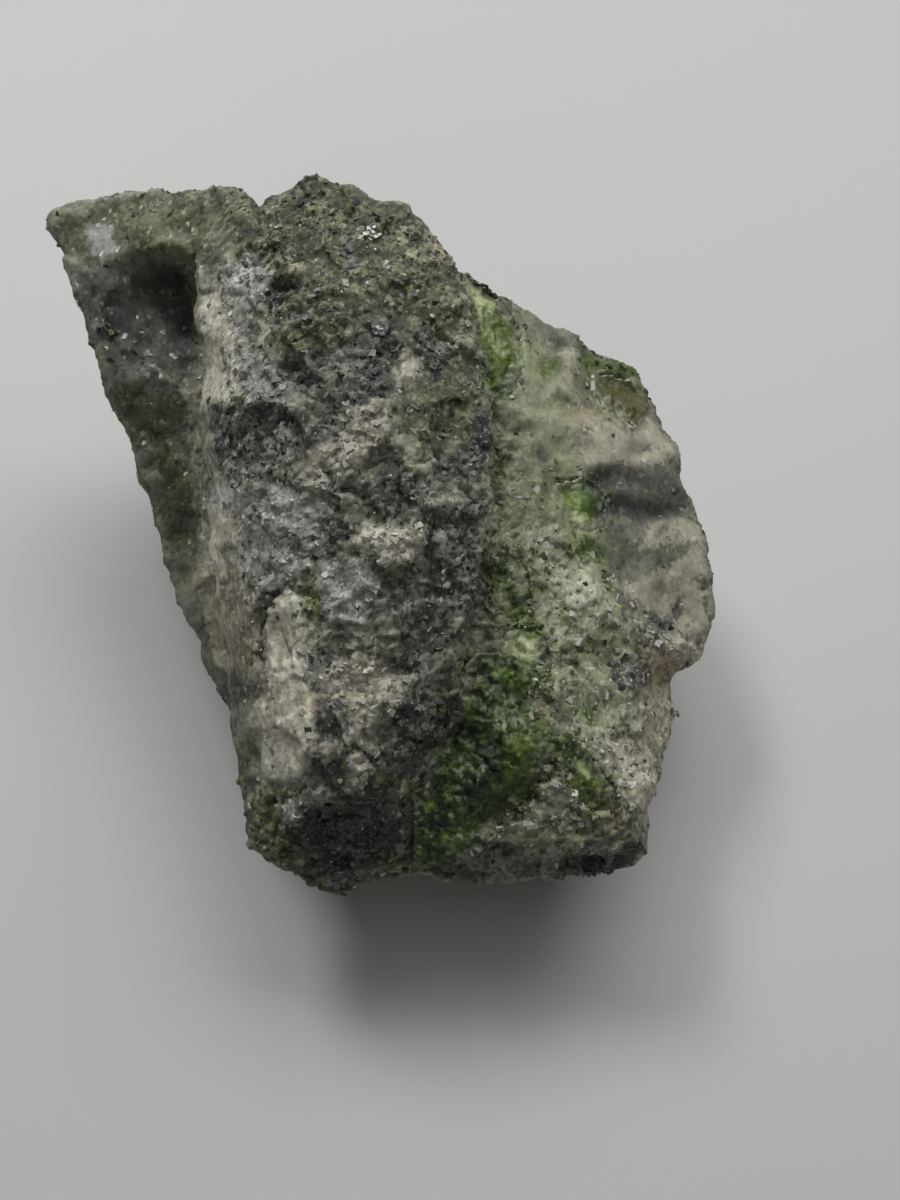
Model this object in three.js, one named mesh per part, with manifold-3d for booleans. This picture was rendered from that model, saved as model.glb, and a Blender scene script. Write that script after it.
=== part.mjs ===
// A hand-sized lump of rough diopside rock: deep green diopside crystals, broken across, held in a
// grey granular matrix. Every length is in millimetres. +X is across the broad face, +Y runs up the
// long ridge and away from the viewer, and +Z is up. The lump sits on a small flat spot at Z = 0.
import * as THREE from "three";
import { ConvexGeometry } from "three/addons/geometries/ConvexGeometry.js";
import { ImprovedNoise } from "three/addons/math/ImprovedNoise.js";
import { TessellateModifier } from "three/addons/modifiers/TessellateModifier.js";
import { mergeVertices } from "three/addons/utils/BufferGeometryUtils.js";
import Module from "manifold-3d";

const FACET_EDGE = 2.9; // longest edge of a facet on the matrix
const SPLIT_ROUNDS = 14;
const RELAX_ROUNDS = 1; // each round softens the creases between the lumps
const RELAX_SHARE = 0.5;
const LUMP_WAVE = 9; // width and height of the broad swells on a broken face
const LUMP_HEIGHT = 0.75;
const CHIP_WAVE = 3.6; // width and height of the chips on them
const CHIP_HEIGHT = 0.55;
const CHIP_OFFSET = 31; // keeps the chips out of step with the swells
const CHIP_LEVEL = 0.35; // share of the chip height that stays out where the noise is nought
const CHIP_SHARPNESS = 2;
const SCAR_REACH = 3; // how far above its floor a flake's scar is cut
const SCAR_FLARE = 1.2; // a scar is this much wider there than on its floor
const SEAT_GAP = 0.4; // widest clearance between a crystal and its socket
const WELD = 1e-3;
const TABLE_BLOCK = 120; // wider than the lump
const UPHILL = new THREE.Vector3(0, 1, 0);

// The matrix is six lumps grown into one. Each is the hull of its own corners: where broken faces meet.
const RIDGE = [
  [-11, 36, 35.5],
  [-16.5, 34.5, 32.5],
  [-22, 31.3, 31.5],
  [-21, 13.5, 26],
  [-16, 23, 33],
  [-16.3, 13, 30.5],
  [-15, 3, 26.4],
  [-13.8, -6.8, 21.9],
  [-18.8, -0.5, 19.5],
  [-17, -12.5, 14.5],
  [-15.5, -17.3, 12],
  [-10.5, -19.5, 10.7],
  [-3.5, -18, 11.3],
  [2, -6.5, 21.3],
  [3, 0, 25],
  [4, 8.5, 29.5],
  [4, 15.5, 31.3],
  [0, 29, 34],
  [-3.7, 32.3, 35],
  [-9, 18.5, 35.3],
  [-12, 7, 29.7],
  [-10, -13, 20],
  [-1.5, 7.5, 31],
  [-1, -3, 25],
  [-16, 31, 12],
  [-2, 28, 12],
  [-12, -8, 5],
  [-3, -6, 5],
];
const LEFT_WING = [
  [-37.4, 40.7, 26.8],
  [-25, 42.2, 28.8],
  [-17, 39.2, 30.8],
  [-33.5, 32, 23.5],
  [-30.4, 25, 20.5],
  [-26.4, 16, 18],
  [-23.4, 5.5, 15],
  [-20.6, -2.5, 14],
  [-16.8, -9.5, 13],
  [-16, 30, 29],
  [-31, 37, 16],
  [-22, 37, 9],
  [-25, 20, 7.5],
  [-18, 0, 5],
  [-10, 20, 8],
];
const RIGHT_SLAB = [
  [0.5, 31.5, 29],
  [6.3, 27.8, 24],
  [9.9, 27.4, 22.3],
  [13.7, 28.9, 20.7],
  [17.7, 28.3, 19.3],
  [21.3, 20.3, 16.9],
  [23.7, 10, 14],
  [23.7, 3, 12.5],
  [22.7, 0.7, 11.5],
  [20, -0.5, 11.5],
  [11.4, 15.7, 22.9],
  [13.3, 6.4, 20.3],
  [15.6, -1.3, 17.4],
  [-1, 14, 22],
  [-1, 0, 20.5],
  [6.5, -4.5, 20.3],
  [16, 26, 8],
  [8, 29, 9],
  [18.5, 8, 4.5],
  [-4, 10, 8],
];
const NOSE = [
  [6.5, -5.5, 21],
  [7.7, -10, 19.8],
  [12, -12.3, 17.2],
  [14.8, -15.8, 15.2],
  [18.6, -6, 12],
  [16.6, -11.8, 12.5],
  [16.2, -16.3, 12.2],
  [13.5, -18, 10.3],
  [2.5, -18.1, 10.4],
  [-5, -17.5, 10.8],
  [-5, -12, 17],
  [-2, -4, 21],
  [4, 1, 21],
  [15.6, -1.3, 17.4],
  [20, -0.5, 11.5],
  [12, -11, 5],
  [0, -9, 4],
  [10, 4, 4],
];
const SEAM = [
  [-1, 29, 30.5],
  [1, 31.3, 28.5],
  [5, 27.4, 25],
  [8.5, 20, 22.8],
  [7, 8, 21.2],
  [3.5, 0, 21.2],
  [2.5, 8, 24],
  [2.5, 18, 27],
  [-3, 20, 12],
];
const KEEL = [
  [-14, 3, -0.7],
  [-5, -3, -0.7],
  [5, 1, -0.7],
  [7, 12, -0.7],
  [-1, 18, -0.7],
  [-11, 15, -0.7],
  [-21.5, 8, 10],
  [-14, -10, 8.5],
  [1, -12.5, 8],
  [14, -9, 8.5],
  [19, 6, 8],
  [17, 22, 9.5],
  [4, 31, 12],
  [-12, 37, 13],
  [-27, 34, 14],
];

// Hollows broken out of the faces, each the hull of its own corners.
const WING_HOLLOW = [
  [-32.5, 34, 26.5],
  [-27, 34.8, 28],
  [-21.5, 33.6, 29.5],
  [-20.5, 24, 27],
  [-23.5, 19.5, 21],
  [-27.5, 22, 20.5],
  [-31, 28, 22.5],
  [-26, 33, 23.5],
  [-22.2, 32, 22],
  [-22.2, 28.5, 20.8],
  [-24, 25, 20.3],
];
const FRONT_HOLLOW = [
  [1.5, -16, 14],
  [4.5, -16.3, 14.8],
  [7, -17.5, 12.5],
  [5.5, -19, 11.3],
  [1.5, -19, 11.3],
  [3.5, -21, 14.5],
  [4, -14.2, 12],
];
const FRONT_NICK = [
  [9, -17.3, 12.5],
  [12.5, -16.5, 13],
  [14.2, -18, 11],
  [10, -19.8, 11],
  [11.5, -20, 13],
  [11.5, -14.8, 11],
];

// Two dark ledges across the far right face, each a narrow wedge split off under an overhanging lip.
const UPPER_LEDGE = [
  [12.6, 15.3, 23],
  [12.6, 13, 23],
  [12.8, 15.1, 21.1],
  [19.4, 16.3, 19.9],
  [19.4, 14, 19.7],
  [19.2, 16.1, 17.7],
];
const LOWER_LEDGE = [
  [13.8, 12.6, 22],
  [13.8, 10.4, 21.7],
  [14, 12.4, 19.9],
  [20.9, 13.8, 18.8],
  [20.9, 11.5, 18.6],
  [20.7, 13.6, 16.6],
];

// Scars that flakes left when they broke off the ridge. Each has a flat floor that passes through "at"
// and faces "out"; its outline is drawn on that floor, across and up the slope, round "at".
const PLATEAU_STEP = {
  at: [-4, 1, 26.8],
  out: [0, -0.2, 1],
  outline: [
    [-2.8, 1],
    [2.2, 0.6],
    [2.8, -1.5],
    [0, -2.6],
    [-2.2, -2],
  ],
};
// The shallow pit that a diamond-shaped grain fell out of.
const DIAMOND_PIT = {
  at: [-9, -9.3, 21.9],
  out: [-0.1, -0.5, 0.9],
  outline: [
    [0, 1.6],
    [1.4, 0.3],
    [0, -1.6],
    [-1.4, -0.2],
  ],
};
// The flat broken face of the big charcoal block beside the seam.
const DARK_FACE = {
  at: [-0.8, 1, 26.4],
  out: [0.25, -0.5, 0.8],
  outline: [
    [-2.2, 4.6],
    [2.6, 4.4],
    [2.6, -2],
    [0.8, -4.5],
    [-1.4, -6.5],
    [-3, -1.5],
  ],
};
// The dark scar on the left shoulder, and the two notches above it.
const DARK_SHOULDER = {
  at: [-15.5, 12, 29.3],
  out: [-0.4, -0.35, 0.85],
  outline: [
    [-4.5, 1.8],
    [3, 2],
    [4.4, 0],
    [3, -2],
    [-2.2, -3],
    [-4.6, -1],
  ],
};
const TOP_NOTCH = {
  at: [-13, 23.5, 33.8],
  out: [-0.5, -0.3, 0.8],
  outline: [
    [-1.5, 0.8],
    [1, 1.1],
    [1.3, -1],
    [-1.2, -1],
  ],
};
const MIDDLE_NOTCH = {
  at: [-11.5, 15.5, 32.8],
  out: [-0.3, -0.4, 0.85],
  outline: [
    [-2, 1],
    [0.4, 1.2],
    [2, -0.6],
    [0, -1.5],
    [-1.6, -1],
  ],
};
// A small pit in the left wall.
const WALL_PIT = {
  at: [-17.8, 4.6, 24.3],
  out: [-0.8, -0.3, 0.6],
  outline: [
    [0, 1.1],
    [0.9, 0.5],
    [0.8, -0.6],
    [0, -1],
    [-0.9, -0.5],
    [-0.8, 0.6],
  ],
};
// The shallow dark hollow in the foot of the ridge.
const FOOT_HOLLOW = {
  at: [-7.7, -15.2, 15.4],
  out: [0, -0.8, 0.6],
  outline: [
    [-3.5, 2.4],
    [2.7, 2.6],
    [4, -1],
    [0.8, -4.4],
    [-3, -1.6],
  ],
};
// The crack down the left side of the pale column.
const COLUMN_CRACK = {
  at: [-14.2, -1.5, 23.6],
  out: [-0.7, -0.3, 0.7],
  outline: [
    [-0.3, 3],
    [0.3, 3],
    [0.4, -2.8],
    [-0.2, -3],
  ],
};

// The crystals stand a little proud of the broken faces. The front one is two blocks grown together.
const FRONT_CRYSTAL_TOP = [
  [2.5, -3.5, 21.1],
  [4.7, -3.7, 21.2],
  [7.4, -5.4, 20.9],
  [8.1, -9.9, 20],
  [3.4, -11.6, 19.3],
  [0.1, -7.6, 20.9],
  [3.5, -5, 17.5],
  [6, -6.5, 17],
  [6.3, -9, 16.3],
  [3.3, -9.6, 15.8],
  [1.8, -7.3, 17.3],
];
const FRONT_CRYSTAL_FOOT = [
  [7.6, -10.6, 19.5],
  [5.7, -13.1, 18.1],
  [2.5, -14.7, 16.5],
  [-0.1, -17.4, 12.9],
  [-2.1, -16.3, 13.5],
  [-1.7, -12.2, 18.3],
  [0.2, -8.2, 20.2],
  [3.9, -9.6, 20],
  [5.5, -10.5, 15.5],
  [2.8, -11.5, 13],
  [0.3, -13.5, 11.5],
  [-0.5, -11.5, 14],
  [1.5, -9, 16],
];
const EDGE_CRYSTAL = [
  [9.9, -9.9, 19.4],
  [10.7, -9.9, 19.1],
  [12.7, -12.4, 17.5],
  [13.1, -13.4, 16.5],
  [11, -13.9, 17.3],
  [9.7, -11.8, 18.9],
  [10.6, -10.6, 16.9],
  [12, -12.2, 15],
  [11, -12.4, 15],
];
const LIME_CRYSTAL = [
  [4.2, -0.3, 21.5],
  [7.1, -0.4, 21.2],
  [7.5, -2.3, 21],
  [6.3, -3, 20.9],
  [4.2, -2, 21.1],
  [5, -0.9, 18.8],
  [6.5, -1, 18.7],
  [6.4, -2.3, 18.6],
  [5, -2.1, 18.7],
];
const UPPER_SEAM_CRYSTAL = [
  [1.6, 30.6, 28.9],
  [3.2, 30, 28],
  [5, 29, 27],
  [6.1, 25.4, 26.5],
  [5.6, 21.6, 26.3],
  [4.5, 18.6, 26.7],
  [3.3, 19.6, 27.6],
  [2.9, 26, 28.7],
  [2.5, 28.8, 25.5],
  [4, 27.5, 24.5],
  [4.2, 22, 23.8],
  [2.5, 22, 25],
  [3.2, 20, 24.5],
];
const LOWER_SEAM_CRYSTAL = [
  [4.1, 5.6, 23.1],
  [5.8, 5.4, 22.7],
  [6, 1.7, 21.9],
  [4.8, 1.2, 21.7],
  [3.9, 2.9, 22.4],
  [4.6, 4.8, 20.2],
  [5.4, 4.6, 20],
  [5.3, 2.3, 19.3],
  [4.5, 2.5, 19.4],
];
const SLAB_CRYSTAL = [
  [9.6, 12.6, 23.4],
  [11.2, 13.5, 22.9],
  [13.3, 12.4, 21.7],
  [12.9, 10.1, 21.5],
  [10.9, 8.8, 22.1],
  [9.5, 10.2, 23.1],
  [10, 12, 20.6],
  [12, 11.8, 19.4],
  [11.7, 10.4, 19.4],
  [10.2, 10.4, 20.4],
];
const OLIVE_CRYSTAL = [
  [13.4, 25.6, 22.2],
  [16.4, 26, 20.5],
  [17.9, 24, 19.5],
  [16.6, 21.4, 20.4],
  [14.2, 21.5, 21.8],
  [13, 23.5, 22.6],
  [14.5, 24.5, 18.9],
  [16, 24, 17.9],
  [15.5, 22.5, 18.4],
];

const wasm = await Module();
wasm.setup();

// A closed three.js geometry as a solid, and a solid as a three.js geometry.
function solidOf(geometry) {
  const bare = new THREE.BufferGeometry();
  bare.setAttribute("position", geometry.getAttribute("position").clone());
  if (geometry.index) bare.setIndex(geometry.index.clone());
  const merged = mergeVertices(bare, WELD);
  return new wasm.Manifold(
    new wasm.Mesh({
      numProp: 3,
      vertProperties: merged.getAttribute("position").array,
      triVerts: new Uint32Array(merged.index.array),
    }),
  );
}

function geometryOf(solid) {
  const mesh = solid.getMesh();
  const geometry = new THREE.BufferGeometry();
  geometry.setAttribute("position", new THREE.BufferAttribute(mesh.vertProperties, 3));
  geometry.setIndex(new THREE.BufferAttribute(mesh.triVerts, 1));
  return geometry;
}

// The hull of a few corners, its faces split into facets of an even size.
function lumpSolid(corners) {
  const hull = new ConvexGeometry(corners.map((corner) => new THREE.Vector3(...corner)));
  return solidOf(new TessellateModifier(FACET_EDGE, SPLIT_ROUNDS).modify(hull));
}

// The vertices next to each vertex of an indexed geometry.
function neighboursOf(geometry) {
  const near = Array.from({ length: geometry.getAttribute("position").count }, () => new Set());
  const index = geometry.index.array;
  for (let i = 0; i < index.length; i += 3) {
    for (let k = 0; k < 3; k++) {
      near[index[i + k]].add(index[i + ((k + 1) % 3)]);
      near[index[i + k]].add(index[i + ((k + 2) % 3)]);
    }
  }
  return near;
}

// Draws every vertex towards the middle of its neighbours, which rounds edges and fills sharp valleys.
function relax(geometry) {
  const near = neighboursOf(geometry);
  const place = geometry.getAttribute("position");
  for (let round = 0; round < RELAX_ROUNDS; round++) {
    const before = place.clone();
    for (let i = 0; i < place.count; i++) {
      const middle = new THREE.Vector3();
      for (const j of near[i]) middle.add(new THREE.Vector3().fromBufferAttribute(before, j));
      middle.divideScalar(near[i].size);
      const here = new THREE.Vector3().fromBufferAttribute(before, i).lerp(middle, RELAX_SHARE);
      place.setXYZ(i, here.x, here.y, here.z);
    }
  }
}

// Pushes every vertex in or out along its normal by two sizes of noise: swells, and sharper chips.
function roughen(geometry) {
  const noise = new ImprovedNoise();
  geometry.computeVertexNormals();
  const place = geometry.getAttribute("position");
  const normal = geometry.getAttribute("normal");
  for (let i = 0; i < place.count; i++) {
    const here = new THREE.Vector3().fromBufferAttribute(place, i);
    const out = new THREE.Vector3().fromBufferAttribute(normal, i);
    const swell = noise.noise(here.x / LUMP_WAVE, here.y / LUMP_WAVE, here.z / LUMP_WAVE);
    const chip = noise.noise(here.x / CHIP_WAVE + CHIP_OFFSET, here.y / CHIP_WAVE, here.z / CHIP_WAVE);
    const crest = CHIP_LEVEL - CHIP_SHARPNESS * Math.abs(chip);
    here.addScaledVector(out, LUMP_HEIGHT * swell + CHIP_HEIGHT * crest);
    place.setXYZ(i, here.x, here.y, here.z);
  }
}

// The matrix: its lumps joined and hollowed, then softened and roughened.
function matrixSolid() {
  let body = lumpSolid(KEEL);
  for (const corners of [RIDGE, LEFT_WING, RIGHT_SLAB, NOSE, SEAM]) body = body.add(lumpSolid(corners));
  for (const corners of [WING_HOLLOW, FRONT_HOLLOW, FRONT_NICK]) body = body.subtract(lumpSolid(corners));
  const skin = geometryOf(body);
  relax(skin);
  roughen(skin);
  skin.deleteAttribute("normal");
  return solidOf(skin);
}

// Everything below the table is cut away, which leaves the small flat spot that the lump rests on.
function cutFlat(solid) {
  const block = new THREE.BoxGeometry(TABLE_BLOCK, TABLE_BLOCK, TABLE_BLOCK);
  block.translate(0, 0, -TABLE_BLOCK / 2);
  return solid.subtract(solidOf(block));
}

function hullSolid(corners) {
  return solidOf(new ConvexGeometry(corners.map((corner) => new THREE.Vector3(...corner))));
}

// The room a flake left: a block on the outline of its scar, with walls that lean outwards.
function scarSolid({ at, out, outline }) {
  const face = new THREE.Matrix4().lookAt(new THREE.Vector3(...out), new THREE.Vector3(), UPHILL);
  face.setPosition(...at);
  const corners = [];
  for (const [across, up] of outline) {
    corners.push(new THREE.Vector3(across, up, 0).applyMatrix4(face));
    corners.push(new THREE.Vector3(SCAR_FLARE * across, SCAR_FLARE * up, SCAR_REACH).applyMatrix4(face));
  }
  return solidOf(new ConvexGeometry(corners));
}

// The socket of a block: its hull grown by the clearance, as a small ball carried round its corners.
function socketSolid(corners) {
  const ball = new THREE.IcosahedronGeometry(SEAT_GAP, 0).getAttribute("position");
  const grown = [];
  for (const corner of corners) {
    for (let i = 0; i < ball.count; i++) {
      grown.push(new THREE.Vector3(...corner).add(new THREE.Vector3().fromBufferAttribute(ball, i)));
    }
  }
  return solidOf(new ConvexGeometry(grown));
}

const specimen = new THREE.Group();

function addNode(name, solid, stone) {
  const node = new THREE.Mesh(geometryOf(solid), stone);
  node.name = name;
  specimen.add(node);
}

const diopside = new THREE.MeshStandardMaterial({ color: 0x2f5a1e, roughness: 0.3, metalness: 0 });
const limeDiopside = new THREE.MeshStandardMaterial({ color: 0x86a63a, roughness: 0.35, metalness: 0 });
const oliveDiopside = new THREE.MeshStandardMaterial({ color: 0x5c5a24, roughness: 0.4, metalness: 0 });
const rock = new THREE.MeshStandardMaterial({ color: 0x7f8078, roughness: 0.85, metalness: 0 });

const CRYSTALS = [
  ["front_diopside", [FRONT_CRYSTAL_TOP, FRONT_CRYSTAL_FOOT], diopside],
  ["edge_diopside", [EDGE_CRYSTAL], diopside],
  ["lime_diopside", [LIME_CRYSTAL], limeDiopside],
  ["upper_seam_diopside", [UPPER_SEAM_CRYSTAL], diopside],
  ["lower_seam_diopside", [LOWER_SEAM_CRYSTAL], diopside],
  ["slab_diopside", [SLAB_CRYSTAL], diopside],
  ["olive_diopside", [OLIVE_CRYSTAL], oliveDiopside],
];

const SCARS = [
  PLATEAU_STEP,
  DIAMOND_PIT,
  DARK_FACE,
  DARK_SHOULDER,
  TOP_NOTCH,
  MIDDLE_NOTCH,
  WALL_PIT,
  FOOT_HOLLOW,
  COLUMN_CRACK,
];

let matrix = cutFlat(matrixSolid());
for (const corners of [UPPER_LEDGE, LOWER_LEDGE]) matrix = matrix.subtract(hullSolid(corners));
for (const scar of SCARS) matrix = matrix.subtract(scarSolid(scar));
for (const [name, blocks, stone] of CRYSTALS) {
  let crystal = hullSolid(blocks[0]);
  for (const corners of blocks.slice(1)) crystal = crystal.add(hullSolid(corners));
  addNode(name, crystal, stone);
  for (const corners of blocks) matrix = matrix.subtract(socketSolid(corners));
}
addNode("matrix", matrix, rock);

// The origin is on the table, under the middle of the whole specimen.
const middle = new THREE.Box3().setFromObject(specimen).getCenter(new THREE.Vector3());
for (const node of specimen.children) node.geometry.translate(-middle.x, -middle.y, 0);

export default specimen;
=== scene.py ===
import math

import bmesh
import bpy
import numpy as np
from mathutils import Matrix, Vector
from mathutils.kdtree import KDTree


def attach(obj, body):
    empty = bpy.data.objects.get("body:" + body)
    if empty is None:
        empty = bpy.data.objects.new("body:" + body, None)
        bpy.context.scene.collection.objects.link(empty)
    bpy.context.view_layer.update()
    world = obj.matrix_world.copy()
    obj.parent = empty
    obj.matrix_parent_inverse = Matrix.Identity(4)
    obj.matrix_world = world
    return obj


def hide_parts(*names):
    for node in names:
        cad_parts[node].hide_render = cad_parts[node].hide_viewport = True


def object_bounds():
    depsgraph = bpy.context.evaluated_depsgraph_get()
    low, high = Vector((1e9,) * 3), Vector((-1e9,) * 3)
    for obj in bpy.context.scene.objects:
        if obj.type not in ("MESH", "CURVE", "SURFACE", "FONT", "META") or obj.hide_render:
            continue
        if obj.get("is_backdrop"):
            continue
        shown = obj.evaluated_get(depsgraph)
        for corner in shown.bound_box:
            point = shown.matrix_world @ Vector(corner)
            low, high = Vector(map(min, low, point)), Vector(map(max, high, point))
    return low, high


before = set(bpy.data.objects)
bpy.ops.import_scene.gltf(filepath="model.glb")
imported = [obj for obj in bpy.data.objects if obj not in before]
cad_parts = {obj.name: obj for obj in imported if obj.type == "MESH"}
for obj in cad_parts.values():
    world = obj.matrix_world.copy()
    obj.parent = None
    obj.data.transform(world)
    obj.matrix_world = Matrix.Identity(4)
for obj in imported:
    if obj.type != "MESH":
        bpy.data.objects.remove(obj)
cad_low, cad_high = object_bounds()
MM = 0.001

# ---- The matrix ----
# One lump of granular diopside rock, broken out of a vein: a long ridge, a wing, a slab and a nose.
# It is a compact mass of dark pyroxene, pale feldspar or calcite and olive-green diopside in grains
# of a quarter to half a millimetre, so its colour changes from patch to patch and grain to grain.


def remeshed(node, name, voxel_mm):
    """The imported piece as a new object, its seams merged and its surface cut into even facets."""
    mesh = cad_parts[node].data.copy()
    mesh.materials.clear()
    shape = bmesh.new()
    shape.from_mesh(mesh)
    bmesh.ops.remove_doubles(shape, verts=shape.verts, dist=1e-6)
    shape.to_mesh(mesh)
    shape.free()
    piece = bpy.data.objects.new(name, mesh)
    bpy.context.scene.collection.objects.link(piece)
    even = piece.modifiers.new("even", "REMESH")
    even.mode = "VOXEL"
    even.voxel_size = voxel_mm * MM
    even.use_smooth_shade = True
    depsgraph = bpy.context.evaluated_depsgraph_get()
    fine = bpy.data.meshes.new_from_object(piece.evaluated_get(depsgraph))
    piece.modifiers.clear()
    piece.data = fine
    fine.name = name
    return piece


def cut_finer(mesh, chosen):
    """Splits the chosen faces in four, so that finer relief can be cut on them."""
    shape = bmesh.new()
    shape.from_mesh(mesh)
    shape.faces.ensure_lookup_table()
    edges = {edge for index in np.flatnonzero(chosen) for edge in shape.faces[int(index)].edges}
    bmesh.ops.subdivide_edges(shape, edges=list(edges), cuts=1, use_grid_fill=True)
    shape.to_mesh(mesh)
    shape.free()


def places_and_normals(mesh):
    """Vertex places in millimetres, and their outward directions."""
    places = np.empty(len(mesh.vertices) * 3, np.float32)
    mesh.vertices.foreach_get("co", places)
    normals = np.empty(len(mesh.vertices) * 3, np.float32)
    mesh.vertices.foreach_get("normal", normals)
    return places.reshape(-1, 3).astype(float) / MM, normals.reshape(-1, 3).astype(float)


def move_to(mesh, places):
    """Moves the vertices, keeping them inside the box of the modelled piece."""
    inside = np.clip(places, np.array(cad_low) / MM, np.array(cad_high) / MM)
    mesh.vertices.foreach_set("co", (inside * MM).astype(np.float32).ravel())
    mesh.update()


def paint(mesh, name, values):
    layer = mesh.attributes.new(name, "FLOAT", "POINT")
    layer.data.foreach_set("value", np.clip(values, 0, 1).astype(np.float32))


def soft_noise(points, size, seed, octaves=1):
    """Smooth noise from -1 to 1 whose swells are about `size` millimetres across."""
    table = np.random.default_rng(seed).uniform(-1, 1, (32, 32, 32))
    total = np.zeros(len(points))
    for octave in range(octaves):
        grid = points * (2**octave) / size + 7.7 * octave
        base = np.floor(grid).astype(int)
        part = grid - base
        part = part * part * (3 - 2 * part)
        for corner in np.ndindex(2, 2, 2):
            share = np.prod(np.where(corner, part, 1 - part), axis=1)
            cell = (base + corner) % 32
            total += share * table[cell[:, 0], cell[:, 1], cell[:, 2]] / 2**octave
    return total


def warped(points, reach, size, seed):
    """The points, each carried up to `reach` millimetres aside, so that borders come out ragged."""
    aside = [soft_noise(points, size, seed + axis, 2) for axis in range(3)]
    return points + reach * np.stack(aside, 1)


def chips(points, size, seed, step, tilt):
    """Relief of flat chips: each cell has a height of its own, up to half `step`, and a slope of its own."""
    table = np.random.default_rng(seed).random((32, 32, 32, 7))
    grid = points / size
    base = np.floor(grid).astype(int)
    nearest = np.full(len(points), np.inf)
    away = np.zeros_like(points)
    chance = np.zeros((len(points), 4))
    for corner in np.ndindex(3, 3, 3):
        cell = base + corner - 1
        entry = table[cell[:, 0] % 32, cell[:, 1] % 32, cell[:, 2] % 32]
        apart = grid - cell - entry[:, :3]
        reach = (apart**2).sum(1)
        closer = reach < nearest
        nearest = np.where(closer, reach, nearest)
        away[closer] = apart[closer]
        chance[closer] = entry[closer, 3:]
    slope = ((chance[:, 1:] - 0.5) * away).sum(1)
    return step * (chance[:, 0] - 0.5) + tilt * slope


def broken_relief(points, rough):
    """Relief of the broken rock: large chips, and smaller ones where it is rough."""
    ragged = warped(points, 0.35, 1.3, 11)
    relief = chips(warped(points, 0.7, 3.5, 12), 4.2, 1, 0.3, 0.5)
    relief += rough * chips(ragged, 1.8, 2, 0.3, 0.5)
    relief += rough * chips(ragged, 0.85, 3, 0.17, 0.3)
    relief += rough * chips(warped(points, 0.15, 0.5, 13), 0.45, 5, 0.07, 0.14)
    return relief + 0.15 * soft_noise(points, 6, 4, 3) - 0.28


# The patches are given as they lie on the face turned to this eye, a hand's breadth above the front
# of the specimen: corners in millimetres right of and above the middle of that face.
EYE = np.array([6.8, -53.1, 104.3])
EYE_TILT = math.radians(62)
EYE_REACH = 89.2
SIGHT = np.array([0, math.cos(EYE_TILT), -math.sin(EYE_TILT)])
SIGHT_UP = np.array([0, math.sin(EYE_TILT), math.cos(EYE_TILT)])


def across_and_up(points):
    ray = points - EYE
    depth = ray @ SIGHT
    return ray[:, 0] * EYE_REACH / depth, (ray @ SIGHT_UP) * EYE_REACH / depth


def span_distance(across, up, start, end):
    """Distance to the straight line between two corners."""
    run, rise = end[0] - start[0], end[1] - start[1]
    share = np.clip(((across - start[0]) * run + (up - start[1]) * rise) / (run**2 + rise**2), 0, 1)
    return np.hypot(across - start[0] - share * run, up - start[1] - share * rise)


def within(across, up, outlines, soft):
    """1 inside any of the outlines and 0 outside them, with a slope `soft` mm wide across their edges."""
    depth = np.full(len(across), -soft)
    for outline in outlines:
        edge = np.full(len(across), np.inf)
        inside = np.zeros(len(across), bool)
        for start, end in zip(outline, outline[1:] + outline[:1]):
            edge = np.minimum(edge, span_distance(across, up, start, end))
            if start[1] != end[1]:
                crossing = start[0] + (up - start[1]) * (end[0] - start[0]) / (end[1] - start[1])
                inside ^= ((start[1] > up) != (end[1] > up)) & (across < crossing)
        depth = np.maximum(depth, np.where(inside, edge, -edge))
    return np.clip(0.5 + depth / soft, 0, 1)


def along(across, up, lines, half_width):
    """1 on the lines, fading to 0 at `half_width` from them."""
    nearest = np.full(len(across), np.inf)
    for line in lines:
        for start, end in zip(line, line[1:]):
            nearest = np.minimum(nearest, span_distance(across, up, start, end))
    return np.clip(1 - nearest / half_width, 0, 1)


def facing_eye(points, normals):
    """1 where the surface looks straight at the eye, 0 where it is edge on, below 0 on the hidden sides."""
    to_eye = EYE - points
    return (normals * to_eye).sum(1) / np.linalg.norm(to_eye, axis=1)


def zoned(points, normals, outlines, seed, soft=1.2, hidden_level=0.45):
    """The outlines on the seen face; the hidden sides get patches of their own from noise."""
    across, up = across_and_up(warped(points, 0.25, 1.3, seed))
    seen = np.clip(facing_eye(points, normals) * 5 + 0.6, 0, 1)
    hidden = np.clip(0.5 + 2 * (soft_noise(points, 7, seed + 50, 3) - hidden_level), 0, 1)
    return within(across, up, outlines, soft) * seen + hidden * (1 - seen)


# Outlines that more than one list below names.
TOP_PIT = [(-13.5, 24.4), (-11.1, 24.9), (-11.4, 23.8), (-12.8, 23.3), (-13.4, 21.4), (-13.8, 21.7),
           (-13.8, 23.5)]
SHOULDER_PIT = [(-12.9, 18.4), (-10.8, 17.7), (-9.5, 16.8), (-10.8, 16.1), (-12.3, 16.5), (-13.2, 17.4)]
SIDE_PIT = [(-10.8, -4), (-10, -4), (-9.3, -4.6), (-9.9, -5.7), (-10.8, -4.9)]
DIAMOND_PIT = [(-10.5, -8.5), (-9.2, -8.5), (-8.1, -10.2), (-9.2, -11.2), (-10.2, -10.2)]
COLUMN_FOOT_PIT = [(-9.9, -13.1), (-8.2, -12.5), (-7.6, -12.8), (-8.3, -14.4), (-9.1, -14.4), (-9.9, -13.9)]
NOSE_NICK = [(2, -18.4), (2.8, -19), (2.8, -20), (0.6, -20.2), (1.1, -19.1)]
NOSE_HOLLOW = [(9.3, -19.5), (10.8, -18.7), (13.1, -20), (13.1, -21.4), (9.7, -21.7), (8.3, -20.7)]
# The two far ledges: sunk as grooves, and painted charcoal as their shadow.
UPPER_FAR_BAND = [(10.6, 9.4), (11.4, 10.2), (15.3, 10), (15.5, 9), (11.1, 8.8)]
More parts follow.
